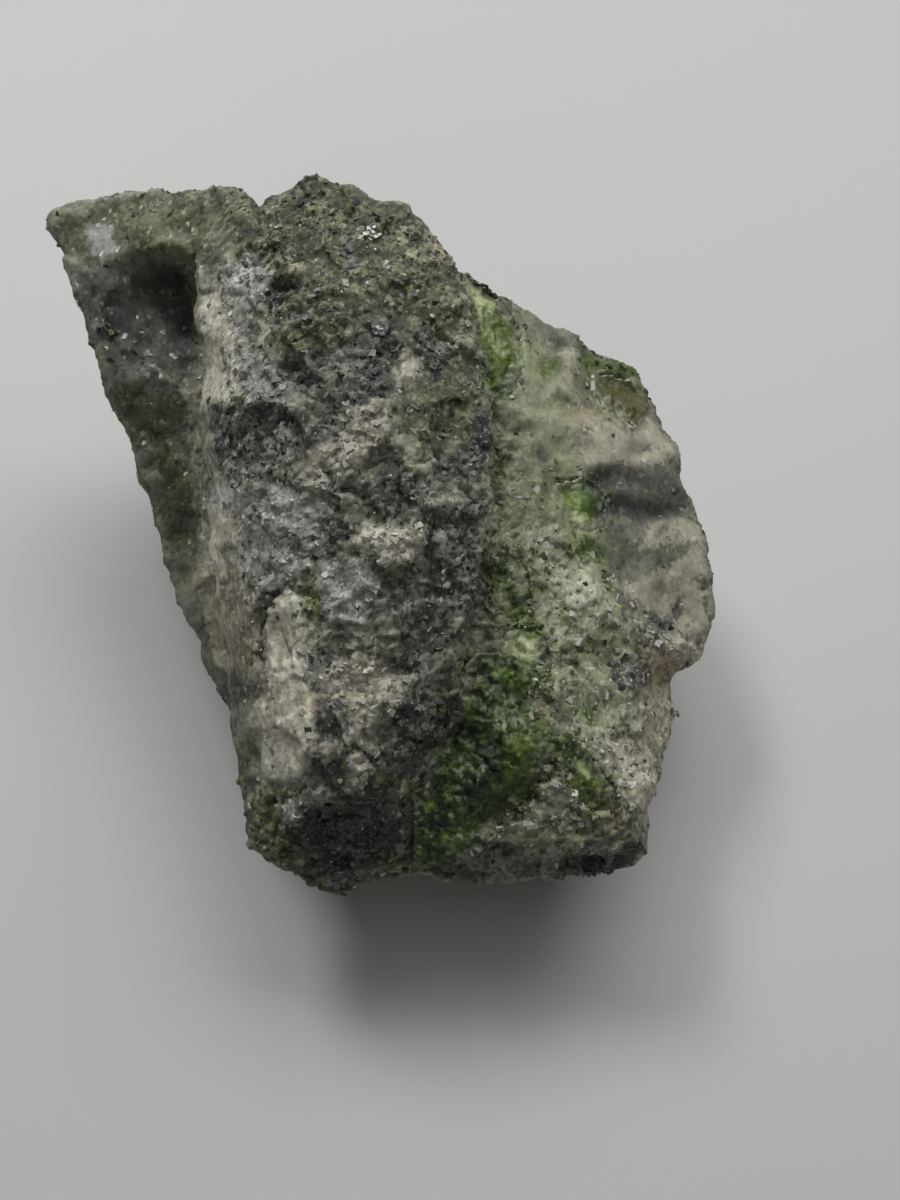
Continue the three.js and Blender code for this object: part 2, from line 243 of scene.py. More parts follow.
LOWER_FAR_BAND = [(10.9, 7.6), (13.3, 7.7), (18, 7.3), (18.1, 6.8), (14.8, 6.4), (11.2, 6.8)]
# The strip on the left shoulder: painted pale for its own pale grains and, in part, as painted light where
# the left window falls on it.
LEFT_STRIP = [(-19, 25), (-17.6, 23.8), (-16.8, 20.8), (-17, 17.7), (-17, 15.1), (-19, 15.1), (-19.1, 19.3),
              (-19.4, 22.3)]
TOP_PATCH = [(-3.4, 19.3), (-2.2, 18.4), (-2.4, 16.8), (-3.8, 16.5), (-4.4, 17.6)]
WARTY_PLATEAU = [(-6.6, 5.4), (-2.5, 5.7), (-1.8, 5), (-2.2, 3.3), (-3.5, 2.5), (-5.4, 2.7), (-6.3, 3.6),
                 (-7.8, 4.2)]
PLATEAU_STRIP = [(-2.4, 7.6), (0.4, 7.8), (1.3, 7.3), (-1.3, 6.9), (-2.4, 6), (-3, 6)]
PALE_FLECK = [(-3.7, 9.2), (-3, 9.2), (-3.1, 8.1), (-3.7, 8.3)]
PALE_COLUMN = [(-14.6, -0.6), (-11.7, 0.2), (-10.8, -3.7), (-11.1, -7.4), (-10.2, -10.5), (-11.4, -13.8),
               (-14.8, -13.8), (-14.9, -8.2), (-14.2, -5.2)]
MIDDLE_PATCH = [(-4.4, -6), (-2.5, -5.5), (-3.5, -7.6), (-5, -9), (-4.9, -7.7)]
FOOT_FLECK = [(-8.3, -14.8), (-6.6, -13.5), (-6.9, -14.2), (-8, -15)]
LILAC_PLATEAU = [(-10, 2.7), (-6.6, 3.1), (-5.5, 1.5), (-6.6, -2), (-9.3, -1.7), (-10.5, 0.8)]
DARK_FACE = [(-4.4, 0.8), (-3.3, 1.8), (-1.5, 2.1), (0, 0.8), (-1.5, -1.9), (-3.3, -3.7), (-3.3, -1.8),
             (-4.4, -0.6)]

# Dark pyroxene, and painted shade: the pits, the nick and hollow of the nose, the two far ledges and the
# wing's hollow are also painted charcoal, as their shadow.
CHARCOAL_AND_SHADE = [
    [(-5.8, 21.7), (-4.7, 21), (-3.5, 19.7), (-3.8, 18.4), (-4.4, 17.1), (-4.9, 16), (-6.6, 15.5), (-8.3, 14),
     (-9.5, 12), (-10.5, 11.9), (-10.8, 12.9), (-9.6, 14.8), (-9.3, 16.6), (-8.4, 18.4), (-7, 20.3)],
    [(-7.3, 27.6), (-6.7, 26.9), (-7.3, 25.3), (-8.1, 25.6), (-8, 27.2)],
    TOP_PIT,
    SHOULDER_PIT,
    [(-18.2, 14.8), (-15.8, 15.1), (-13.1, 14.8), (-11.4, 14.3), (-10.8, 12.8), (-11.7, 10.9), (-13.8, 9.8),
     (-16.1, 9.2), (-18.1, 10.2), (-18.5, 12.5)],
    [(2.5, 14.8), (3.2, 14.3), (3.2, 10.2), (1.9, 9.2), (-1, 9.3), (-0.7, 10.5), (1.3, 11.4)],
    [(-2.5, 20.8), (-1.1, 19.9), (0.2, 19.3), (-1.1, 16.8), (-2.1, 17.7), (-2.2, 19.3)],
    [(-2.5, 7.2), (2.5, 7.3), (2.5, 1.5), (1.8, 0.2), (0.4, -1.5), (0.2, -3.1), (-2.1, -4.6), (-3.3, -3.7),
     (-3.3, -1.8), (-4.4, -0.6), (-4.4, 0.8), (-3.3, 1.8), (-1.8, 2.4), (-1.6, 4.2), (-2.1, 6.5)],
    [(-5.7, 8.6), (-4.1, 9.9), (-2.1, 9.5), (-1.8, 8), (-3.5, 7.5), (-4.4, 6.3), (-6, 6.9)],
    SIDE_PIT,
    DIAMOND_PIT,
    [(-17.9, 3.9), (-17.3, 4.4), (-16.7, 3.9), (-16.6, 3.1), (-17.3, 2.8), (-17.8, 3.2)],
    [(-19.9, -0.2), (-19.4, 0.2), (-18.9, -0.5), (-19.4, -1.1), (-19.9, -0.8)],
    [(-4.1, -4.6), (-2.7, -4.6), (-2.5, -5.4), (-3.8, -5.7)],
    [(-2.7, -7.4), (-1, -7), (1.3, -7.9), (1, -9.7), (-1, -11.2), (-2.5, -12), (-3.5, -13.8), (-5.4, -12.8),
     (-4, -10.5), (-5.5, -9.7)],
    COLUMN_FOOT_PIT,
    [(-10.2, 5), (-9.3, 6), (-7.8, 5.4), (-7.3, 4.5), (-9.3, 3.9)],
    [(-11.3, -16.4), (-8.8, -16.1), (-6.6, -15.1), (-5, -15.5), (-3.8, -17.7), (-3.5, -18.9), (-5.7, -19.5),
     (-6.6, -21.7), (-8.5, -22.2), (-9.7, -21.3), (-10.6, -19.2), (-11.6, -18.4)],
    [(-4.1, -12), (-1.9, -10.5), (-1.3, -9.9), (0.9, -8.6), (0.2, -10.5), (-2.2, -12), (-0.5, -12.8),
     (-1.3, -14.2), (-2.4, -14.5), (-3.8, -13.6)],
    NOSE_NICK,
    NOSE_HOLLOW,
    [(7.3, -3), (7.8, -2.4), (8, -4.2), (6.9, -5.3), (6.6, -6.3), (6.7, -4.2)],
    [(13.1, -4.5), (14.3, -4.9), (14.6, -6.3), (13.2, -6.7), (12.7, -5.6)],
    [(15, -0.7), (16.9, -0.7), (17.8, 0), (18.1, -1), (16.5, -2.8), (15, -2.1)],
    [(12.5, 3.5), (14.8, 2.8), (14.3, 2.1), (12.9, 2.4)],
    UPPER_FAR_BAND,
    LOWER_FAR_BAND,
    [(6.6, 11.9), (8, 11.2), (7.6, 10.3), (6.6, 11.3)],
    [(5.4, 17.5), (4.7, 15.7), (4.2, 16), (4.7, 17.5)],
    [(-22.9, 24.7), (-20.8, 25.8), (-20.2, 24.4), (-19.4, 21.7), (-19.6, 19.3), (-20.8, 18.1), (-22.3, 17.7),
     (-22.9, 18.8), (-21.6, 19.9), (-21.6, 21.1), (-22.9, 22.6), (-23.5, 23.8)],
    [(-28.2, 25.3), (-26.4, 25.8), (-22.9, 24.7), (-23.2, 23.2), (-22.9, 22.3), (-22.3, 21), (-22.4, 19.6),
     (-22.9, 18.8), (-22.3, 17), (-22.9, 16.3), (-24.7, 17.7), (-26.2, 19.9), (-27.6, 22.6)],
    [(-21.6, 13.2), (-20.5, 13.4), (-20.5, 12), (-21.6, 12.2)],
]
PALE = [
    LEFT_STRIP,
    TOP_PATCH,
    [(-8.1, 14.8), (-4.7, 14.8), (-4.6, 12.9), (-6.3, 11.4), (-6.7, 10.2), (-10.2, 9.2), (-10.8, 10.9),
     (-9.6, 11.7), (-8.4, 13.5)],
    [(-11.1, 9.9), (-9.3, 9.8), (-9.3, 8.4), (-10.8, 8.6)],
    WARTY_PLATEAU,
    PLATEAU_STRIP,
    PALE_FLECK,
    PALE_COLUMN,
    [(-9, -4.6), (-5.8, -4.3), (-4.4, -5.8), (-5.4, -8.2), (-7, -9.7), (-9.3, -7.6), (-10.2, -6.1)],
    MIDDLE_PATCH,
    [(-7.8, -9.7), (-5.4, -10.9), (-6.3, -13.8), (-8.1, -12.8)],
    FOOT_FLECK,
    [(-8.2, -13.1), (-7.4, -13.1), (-7.6, -13.6), (-8.2, -13.6)],
    [(6.9, -13.7), (9, -13.3), (10.1, -15.6), (9.3, -17.7), (7.3, -15.6)],
    [(5.5, -15.6), (7.3, -16.4), (6.9, -17.9), (5.3, -17.2)],
    [(3.2, -15.8), (5.5, -16.4), (4.6, -18.1), (2, -17.5)],
    [(9.7, -10), (15.3, -10.9), (16.4, -12.1), (15.3, -14.8), (14.3, -16.1), (13.1, -15.6), (10.8, -12.1)],
    [(13.4, 0.8), (19.6, 4.6), (19.7, -4.2), (17.8, -5.3), (15.3, -3.1), (14.3, 0)],
    [(9.6, 12.5), (14.5, 14.9), (16.7, 13), (17.6, 10.7), (10.3, 10.5)],
    [(8.9, 19.5), (9.9, 19.1), (9.3, 16.4), (8.4, 16.8)],
    [(-19.1, 7.6), (-16.1, 6.1), (-16.1, 1.9), (-14.9, 0), (-15.3, -6.9), (-18, -4.6), (-19.4, 0.8)],
    [(15.7, 6.1), (19.1, 6.5), (19.6, 4.6), (14.5, 4)],
]
LILAC = [
    [(-16.1, 26.2), (-14.8, 26.9), (-13.8, 24.4), (-15.1, 22.6), (-16.1, 22.9)],
    [(-17.6, 25.6), (-16.3, 25.6), (-15.5, 22.5), (-15.7, 20), (-13.5, 17.7), (-12.9, 15.5), (-16.8, 15.1),
     (-17, 17.7), (-16.8, 20.8)],
    [(-7.2, 19.7), (-6, 19.7), (-6, 19), (-7, 19)],
    [(-18.4, 8.7), (-11.4, 9), (-9.3, 7.2), (-10.2, 5.1), (-10.2, 3.3), (-13.4, 0.5), (-16.3, 2.4),
     (-16, 6.2), (-18.5, 6.9)],
    LILAC_PLATEAU,
    [(-12.9, -15.5), (-11.2, -15), (-11, -16.4), (-11.9, -17.7), (-12.7, -17.7)],
    [(-9.2, -6.1), (-8.4, -5.8), (-8.6, -7.2), (-9.5, -7.5)],
    [(-3.4, 1), (-0.8, 1.9), (0.2, 0), (-1.5, -1.7), (-3.1, -0.5)],
    [(-27.9, 28.7), (-26, 28.9), (-25.4, 26.8), (-26.8, 25.9), (-27.7, 26.8)],
    [(12.2, 1.9), (14.5, 1.1), (14.5, 0), (12.6, 0.3)],
    [(-23.5, 22.9), (-21.6, 21), (-22.2, 19.5), (-24.5, 19.5), (-24.6, 21.8)],
]
OLIVE = [
    [(-14.9, 30.6), (-10.1, 32.7), (-7.6, 31.7), (-3.4, 30.2), (0.4, 26), (1.5, 22.9), (2.1, 19.5),
     (0.4, 19.5), (-3.8, 21.4), (-6.1, 22.2), (-8.4, 20.7), (-11.5, 18.4), (-13.8, 19.1), (-14.4, 24.5),
     (-16.4, 26.4), (-18, 27.9)],
    [(-30.4, 29.7), (-26, 30.6), (-20.7, 31.6), (-14.9, 30.8), (-15.7, 27.9), (-18, 27.5), (-19.9, 25.6),
     (-22.9, 25.9), (-25.2, 27.2), (-28.7, 25.9)],
    [(-3.4, 16.4), (1.5, 19.1), (2.9, 15.3), (2.3, 12.2), (-1.5, 12.2), (-3.8, 13.8)],
    [(-15.3, -14.5), (-12.2, -14.5), (-11.5, -18.7), (-9.2, -21.8), (-8, -22.4), (-9.9, -22.7), (-12.6, -22),
     (-14.4, -20.2), (-15.5, -16.8)],
    [(9.9, 19.6), (12.2, 19.1), (14.5, 18.2), (15.7, 16.1), (14.5, 15.7), (11.5, 17.4)],
    [(-8, -14.5), (-5, -12.6), (-2.3, -13), (-3.4, -15.3), (-7.6, -16.4)],
    [(-18.7, -7.6), (-17.2, -10.7), (-15.8, -13.8), (-16.4, -14.5), (-18, -11.1)],
    [(-11.5, 2), (-9.3, 1.5), (-9.2, -1.9), (-11.1, -1.5)],
    [(-26, 16.8), (-22.2, 16.1), (-20.3, 15.3), (-19.5, 9.2), (-19.9, 0.8), (-21.8, 4.6), (-23.7, 9.9)],
    [(-6.1, -19.5), (-3.1, -18.7), (-3.1, -20.7), (-5.7, -21.8)],
]
MINT = [
    [(3.1, 22.2), (6.9, 20.3), (9.6, 18), (10.7, 9.9), (12.2, 3.1), (14.5, -4.6), (13, -9.2), (9.2, -9.2),
     (7.3, -6.9), (6.1, -3.1), (3.8, -0.8), (3.2, 7.6), (3.1, 15.3)],
    [(-3.7, 11.9), (-2.4, 11.7), (-2.4, 10.2), (-3.5, 10.2)],
    [(9.2, -7.6), (12.2, -6.9), (14.5, -10.7), (9.9, -10.3)],
    [(5.4, -14.5), (8.4, -13), (11.5, -15.3), (10.7, -18.4), (6.1, -19.1), (2.3, -18)],
]
GREEN = [
    [(9, 4.6), (11.8, 4.6), (12.5, 2.8), (11.5, 2.8), (9.3, 3.5)],
    [(11.8, 2.3), (13.4, 1.1), (12.9, 0), (12, 1.1)],
    [(8.5, -0.8), (9.7, -0.7), (9.9, -1.8), (8.5, -1.5)],
    [(9.7, -3.3), (11.6, -3.1), (11.1, -4), (9.9, -4.2)],
    [(3.2, 4.6), (4.1, 3.5), (4.7, 1.9), (4.7, 0.8), (3.5, 0), (3.1, 2)],
    [(2.2, 18), (3.9, 17.8), (4.5, 15.7), (3, 15.7)],
    [(3.4, 11.9), (4.5, 11), (3.9, 8), (3.1, 8.8)],
    [(7, 18.7), (8.6, 18.7), (8, 16.8), (7, 17.2)],
    [(9.9, 19.6), (13.3, 18.7), (14.8, 17.5), (14.2, 16.6), (10.5, 17.8)],
    [(2.8, -4.2), (6.9, -3.5), (7.8, -7.6), (7.8, -11.1), (6.1, -15.3), (2.3, -17.6), (-0.8, -20.3),
     (-2.7, -19.1), (-1.5, -13.8), (0.2, -8.6), (2.1, -6.1)],
    [(7.3, -10.3), (9.6, -10.2), (12.6, -15.7), (11.5, -17), (8.4, -13.4)],
    [(4.2, 0), (5.7, 0.8), (7.3, -3.1), (6.5, -4.6), (5, -3.1)],
    [(-11.5, 1.1), (-9.9, 0.8), (-10.1, -1.1), (-11.3, -0.9)],
    [(-16.8, 15.7), (-16.1, 15.7), (-16.1, 14.9), (-16.8, 14.9)],
    [(9.3, -8.4), (11.1, -8), (11.3, -9.3), (9.9, -9.3)],
]
RUST = [
    [(-11.9, -6.8), (-10.9, -6.6), (-10.6, -8), (-11.5, -8.4)],
    [(15.1, -13.8), (16.2, -12.2), (15.7, -16.5), (14.6, -17.4)],
    [(15.3, -3.8), (17.8, -3.5), (18.3, -5.3), (17.4, -6.7), (16.1, -10.7), (15.5, -9.2), (15.7, -6.9)],
    [(9.6, 15.1), (11.7, 15.1), (12.5, 13.8), (11.1, 13.2), (9.4, 14.1)],
    [(11.8, -15.6), (13.4, -16.4), (12.9, -17.9), (11.5, -17)],
    [(6.3, -6.9), (7.3, -6.9), (7.8, -9.2), (6.9, -8.8)],
    [(-1.9, 28.7), (-0.4, 27.2), (0, 25.9), (-0.9, 26.2)],
    [(-16.4, -3.1), (-15.5, -3.1), (-15.1, -5), (-15.9, -5.2)],
]
HIGH = [
    WARTY_PLATEAU,
    LILAC_PLATEAU,
    MIDDLE_PATCH,
    TOP_PATCH,
    [(-14.4, -0.9), (-11.7, 0.2), (-10.8, -3.7), (-11.1, -7.4), (-10.2, -10.5), (-11.4, -13.8),
     (-14.4, -13.8), (-14.4, -8.2), (-13.9, -5.2)],
    FOOT_FLECK,
    PLATEAU_STRIP,
    PALE_FLECK,
    [(-8.1, 14.8), (-4.7, 14.8), (-4.6, 12.9), (-6.3, 11.4), (-6.7, 10.2), (-8.4, 10.3), (-8.4, 13.5)],
]
LOW = [
    DIAMOND_PIT,
    SIDE_PIT,
    SHOULDER_PIT,
    TOP_PIT,
    NOSE_NICK,
    NOSE_HOLLOW,
    COLUMN_FOOT_PIT,
    [(-17.7, 3.9), (-17.3, 4.1), (-16.9, 3.8), (-16.9, 3.3), (-17.3, 3.1), (-17.7, 3.4)],
    DARK_FACE,
    UPPER_FAR_BAND,
    LOWER_FAR_BAND,
]
SMOOTH = [
    LEFT_STRIP,
    DIAMOND_PIT,
    DARK_FACE,
    PALE_COLUMN,
    TOP_PATCH,
    [(-19.9, 15.3), (-18.4, 15.3), (-15.3, 0), (-15.3, -12.2), (-17.2, -9.2), (-19.5, 0)],
]
CALM = [
    [(-31.4, 31.4), (-15.3, 31.4), (-17.2, 27.5), (-19.1, 25.2), (-19.5, 9.2), (-18, 0), (-14.9, -7.6),
     (-15.7, -15.3), (-19.9, -7.6), (-31.4, 22.9)],
    [(3.4, 26.8), (20.7, 20.7), (21.4, -4), (15.5, -2), (10, 4), (6.1, 9.5), (3.8, 15)],
]
# Painted light and shade: the first list lightens faces that the windows light full on, such as the left
# wall, the column and the slab; the second darkens the wing's lower flank, the far ledges and other parts in
# shade.
PAINTED_LIGHT = [
    [(-19.4, 25.2), (-16.2, 25.9), (-15.7, 20.7), (-16.2, 15.3), (-18.7, 14.5), (-19.7, 20.7)],
    [(-14.7, 0), (-11.5, 0.8), (-10.1, -3.1), (-10.1, -7.7), (-11.5, -14.5), (-14.4, -14.5), (-14.8, -7.7)],
    [(-6.5, 5.7), (-2.3, 5.7), (-1.5, 3.1), (-4.2, 1.5), (-7.7, 2.1)],
    [(3.8, 6.1), (10.7, 4.6), (11.5, 0), (8.4, -3.1), (4.2, -0.8)],
    [(-2.5, 3.2), (-0.2, 9.4), (2.9, 9.6), (2.9, 4.2), (1.2, -0.5), (-2.8, -0.8)],
    [(-18, 14), (-13.4, 14.2), (-11.8, 12), (-13.8, 10.2), (-17.8, 10.6)],
    [(-19.6, 13), (-16.6, 12), (-15.8, 3), (-18.4, 3.4)],
    [(14.9, -6.9), (17.9, -7.7), (17.6, -15.3), (14.5, -16.8), (12.8, -13)],
    [(3.4, -2.3), (6.9, -2.3), (7.7, -5), (4.2, -5.4)],
]
PAINTED_SHADE = [
    [(-28.3, 25.2), (-24.5, 23), (-19.9, 13.8), (-18.7, 3.1), (-21.4, 3.1), (-25.2, 13.8), (-28.3, 20.7)],
    [(-24.5, 25.2), (-19.5, 25.2), (-19.5, 17.6), (-23, 16.8), (-26, 20.7)],
    [(-18.7, 1.5), (-15.3, 0.8), (-15.3, -6.9), (-16.4, -9.2), (-18.7, -4.6)],
    [(-11.9, -15.3), (-3.8, -15.3), (-3.4, -19.9), (-9.2, -21.4), (-12.2, -18.4)],
    [(10.9, 10.4), (18.2, 10.4), (18.6, 6.2), (11, 6.2)],
    [(15.4, 3.4), (19, 3.4), (19, -0.8), (15.4, -0.8)],
]
CRACKS = [
    [(-13.2, 0.5), (-14.6, -0.9), (-14.8, -4.7)], [(-9.9, 10.3), (-9.0, 8.4), (-7.2, 7.9)],
    [(-9.2, -13.0), (-7.3, -11.4), (-5.6, -12.6)], [(-2.7, -19.6), (-1.7, -13.6), (1.3, -9.3)],
]
SHARP_EDGES = [
    [(6.2, -6.0), (6.1, -9.5), (6.9, -11.5)], [(8.9, -9.8), (11.6, -14.5), (13.3, -16.5)],
    [(1.5, -18.0), (0.0, -19.6), (-1.2, -20.6)], [(-9.2, -7.6), (-8.0, -10.4)],
]


def rock_tints(points, normals):
    """How far each colour and texture of the rock reaches every point."""
    painted_light = zoned(points, normals, PAINTED_LIGHT, 114, soft=1.6, hidden_level=0.7)
    painted_shade = zoned(points, normals, PAINTED_SHADE, 115, soft=1.6, hidden_level=0.7)
    return {
        "charcoal": zoned(points, normals, CHARCOAL_AND_SHADE, 101),
        "pale": zoned(points, normals, PALE, 102),
        "lilac": zoned(points, normals, LILAC, 103, hidden_level=0.8),
        "olive": zoned(points, normals, OLIVE, 104, soft=2.5, hidden_level=0.1),
        "mint": zoned(points, normals, MINT, 105, soft=2.5, hidden_level=0.5),
        "green": zoned(points, normals, GREEN, 106, hidden_level=0.7),
        "rust": zoned(points, normals, RUST, 107, soft=1.6, hidden_level=0.7),
        "smooth": zoned(points, normals, SMOOTH, 108, soft=2),
        "calm": zoned(points, normals, CALM, 109, soft=4),
        # painted light and shade, as one offset to the lightness
        "light_and_shade": 0.5 + 0.5 * painted_light - 0.5 * painted_shade,
    }


# The rock's grid, halved on the parts that face the eye and are not worn calm; with these two values
# the piece stays under 200,000 triangles.
ROCK_GRID = 0.475
FACING_ENOUGH = 0.4
matrix_rock = remeshed("matrix", "matrix_rock", ROCK_GRID)
places, normals = places_and_normals(matrix_rock.data)
across, up = across_and_up(places)
sharp = (facing_eye(places, normals) > FACING_ENOUGH) & (within(across, up, CALM, 1.0) < 0.5)
corners = np.empty(len(matrix_rock.data.loops), np.int32)
matrix_rock.data.loops.foreach_get("vertex_index", corners)
starts = np.empty(len(matrix_rock.data.polygons), np.int32)
matrix_rock.data.polygons.foreach_get("loop_start", starts)
cut_finer(matrix_rock.data, sharp[corners[starts]])
places, normals = places_and_normals(matrix_rock.data)
across, up = across_and_up(places)
tints = rock_tints(places, normals)
frayed_across, frayed_up = across_and_up(warped(places, 0.3, 1.1, 116))
# Painted shadow: the cracks are sunk a little and painted charcoal along their length, as the shadow in them.
crack = along(frayed_across, frayed_up, CRACKS, 0.4)
sharp_edge = along(frayed_across, frayed_up, SHARP_EDGES, 0.45)
tints["charcoal"] = np.maximum(tints["charcoal"], crack)
tints["pale"] = np.maximum(tints["pale"], sharp_edge)
high = zoned(places, normals, HIGH, 110, soft=0.6)
low = zoned(places, normals, LOW, 111, soft=0.8)
facing = facing_eye(places, normals)
rough = (1 - 0.7 * tints["smooth"]) * (1 - 0.5 * tints["calm"]) * np.clip(0.75 + facing, 0.45, 1)
relief = broken_relief(places, rough)
relief += 0.3 * high - 0.2 * low - 0.35 * crack + 0.25 * sharp_edge
rock_base, rock_facing = places, normals
FLAT_FOOT = 0.8  # the relief fades out over this height above the table, so the resting spot stays flat
off_table = np.clip(places[:, 2] / FLAT_FOOT, 0, 1)
move_to(matrix_rock.data, places + normals * (relief * off_table)[:, None])
for tint, share in tints.items():
    paint(matrix_rock.data, tint, share)
# Painted shade: the colour is darkened where the relief sinks, standing for shade in the hollows.
paint(matrix_rock.data, "hollow_shade", 0.5 - relief)


def node(tree, kind, sockets=(), **settings):
    made = tree.nodes.new("ShaderNode" + kind)
    for name, value in settings.items():
        setattr(made, name, value)
    for name, value in dict(sockets).items():
        if isinstance(value, bpy.types.NodeSocket):
            tree.links.new(value, made.inputs[name])
        else:
            made.inputs[name].default_value = value
    return made


def number(tree, operation, first, second=0.0, clamp=False):
    return node(tree, "Math", {0: first, 1: second}, operation=operation, use_clamp=clamp).outputs[0]


def blend(tree, share, first, second, blend_type="MIX"):
    made = node(tree, "Mix", {0: share, 6: first, 7: second}, data_type="RGBA", blend_type=blend_type)
    return made.outputs[2]


def weigh(tree, *terms, start=0.0, clamp=False):
    """start plus every socket times its weight."""
    total = start
    for socket, weight in terms:
        made = node(tree, "Math", {0: socket, 1: weight, 2: total}, operation="MULTIPLY_ADD")
        total = made.outputs[0]
    made.use_clamp = clamp
    return total


def painted(tree, name):
    return node(tree, "Attribute", attribute_name=name).outputs["Fac"]


def noise(tree, spot, scale, detail, roughness, distortion=0.0):
    return node(tree, "TexNoise", {
        "Vector": spot, "Scale": scale, "Detail": detail, "Roughness": roughness, "Distortion": distortion,
    }).outputs["Fac"]


def colours(tree, share, stops):
    made = node(tree, "ValToRGB", {"Fac": share})
    band = made.color_ramp
    while len(band.elements) < len(stops):
        band.elements.new(0.5)
    for element, (place, colour) in zip(band.elements, stops):
        element.position = place
        element.color = (*colour, 1)
    return made.outputs["Color"]


def new_material(name):
    material = bpy.data.materials.new(name)
    material.use_nodes = True
    tree = material.node_tree
    return material, tree, tree.nodes["Principled BSDF"]


def grain_cells(tree, spot, scale):
    """Angular grains: their random colour as three numbers, and the distance from each grain's middle."""
    cells = node(tree, "TexVoronoi", {"Vector": spot, "Scale": scale})
    parts = node(tree, "SeparateColor", {"Color": cells.outputs["Color"]})
    return cells, parts.outputs[0], parts.outputs[1], parts.outputs[2]


def swayed_spot(tree, spot, scale, reach):
    sway = node(tree, "TexNoise", {"Vector": spot, "Scale": scale, "Detail": 2})
    return node(tree, "VectorMath", {0: sway.outputs["Color"], 1: (reach,) * 3, 2: spot},
                operation="MULTIPLY_ADD").outputs[0]


def zone_share(tree, name, ragged, firmness=3.0):
    """How far a painted patch covers a grain: its border runs grain by grain."""
    return weigh(tree, (painted(tree, name), firmness), (ragged, 1.0), start=0.5 - firmness / 2, clamp=True)


def turned_aside(tree, normal, cells, share):
    """The normal with every grain turned its own way."""
    tilted = node(tree, "VectorMath", {0: cells.outputs["Color"], 1: (0.5,) * 3}, operation="SUBTRACT")
    turned = node(tree, "VectorMath", {0: tilted.outputs[0], 1: share, 2: normal}, operation="MULTIPLY_ADD")
    return node(tree, "VectorMath", {0: turned.outputs[0]}, operation="NORMALIZE").outputs[0]


def grainy_skin(tree, surface, cells, grain_tone, grain_kind, fleck, bump_mm, crisp, shiny_above,
                glint_weight):
    """Fine broken relief, and a share of the grains with a bright cleavage face turned its own way."""
    height = weigh(tree, (cells.outputs["Distance"], -0.4), (grain_tone, 0.45), (fleck, 0.9))
    strength = number(tree, "MULTIPLY", crisp, 0.8)
    bump = node(tree, "Bump", {"Height": height, "Strength": strength, "Distance": bump_mm * MM})
    facet = turned_aside(tree, bump.outputs["Normal"], cells, number(tree, "MULTIPLY", crisp, 0.55))
    tree.links.new(facet, surface.inputs["Normal"])
    flashing = turned_aside(tree, bump.outputs["Normal"], cells, (1.0,) * 3)
    tree.links.new(flashing, surface.inputs["Coat Normal"])
    shiny = number(tree, "GREATER_THAN", grain_kind, shiny_above)
    tree.links.new(number(tree, "MULTIPLY", shiny, glint_weight), surface.inputs["Coat Weight"])
    surface.inputs["Coat Roughness"].default_value = 0.15


def grainy(tree):
    """The grains' pattern: lightness, raggedness of borders, crispness, cells, tone, shine, kind, fleck."""
    spot = node(tree, "TexCoord").outputs["Object"]
    swayed = swayed_spot(tree, spot, 1500, 0.0004)
    cells, tone, shine, kind = grain_cells(tree, swayed, 2600)
    clots, clot_tone, _, clot_kind = grain_cells(tree, swayed, 900)
    mottle = noise(tree, spot, 450, 8, 0.68, 0.5)
    by_grain = noise(tree, cells.outputs["Position"], 500, 7, 0.72, 0.5)
    by_clot = noise(tree, clots.outputs["Position"], 330, 4, 0.7)
    fleck = noise(tree, spot, 3000, 6, 0.85)
    stretched = node(tree, "VectorMath", {0: spot, 1: (1.0, 0.13, 1.0)}, operation="MULTIPLY").outputs[0]
    fibre = noise(tree, stretched, 2600, 3, 0.6)
    ragged = weigh(tree, (kind, 0.9), (fleck, 1.6), (clot_kind, 0.5), start=-1.5)
    # Lightness: the grains' own tones, less the painted shade of the hollows.
    lightness = weigh(
        tree, (mottle, 0.5), (by_grain, 1.2), (by_clot, 0.5), (tone, 0.26), (clot_tone, 0.16), (fleck, 0.9),
        (painted(tree, "hollow_shade"), -0.3), start=-1.12,
    )
    fibrous = number(tree, "MULTIPLY", weigh(tree, (fibre, 1.2), start=-0.6), painted(tree, "smooth"))
    lightness = number(tree, "ADD", lightness, fibrous)
    softened = number(tree, "MULTIPLY", painted(tree, "calm"), 0.55)
    lightness = node(tree, "Math", {0: number(tree, "SUBTRACT", 0.5, lightness), 1: softened, 2: lightness},
                     operation="MULTIPLY_ADD").outputs[0]
    # Painted light and shade: the painted light and shade map raises or lowers the lightness, after the calm
    # zones are softened.
    lightness = weigh(tree, (lightness, 1.0), (painted(tree, "light_and_shade"), 0.38), start=-0.19)
    crisp = weigh(tree, (painted(tree, "calm"), -0.65), (painted(tree, "smooth"), -0.3), start=1.0,
                  clamp=True)
    return lightness, ragged, crisp, cells, tone, shine, kind, fleck


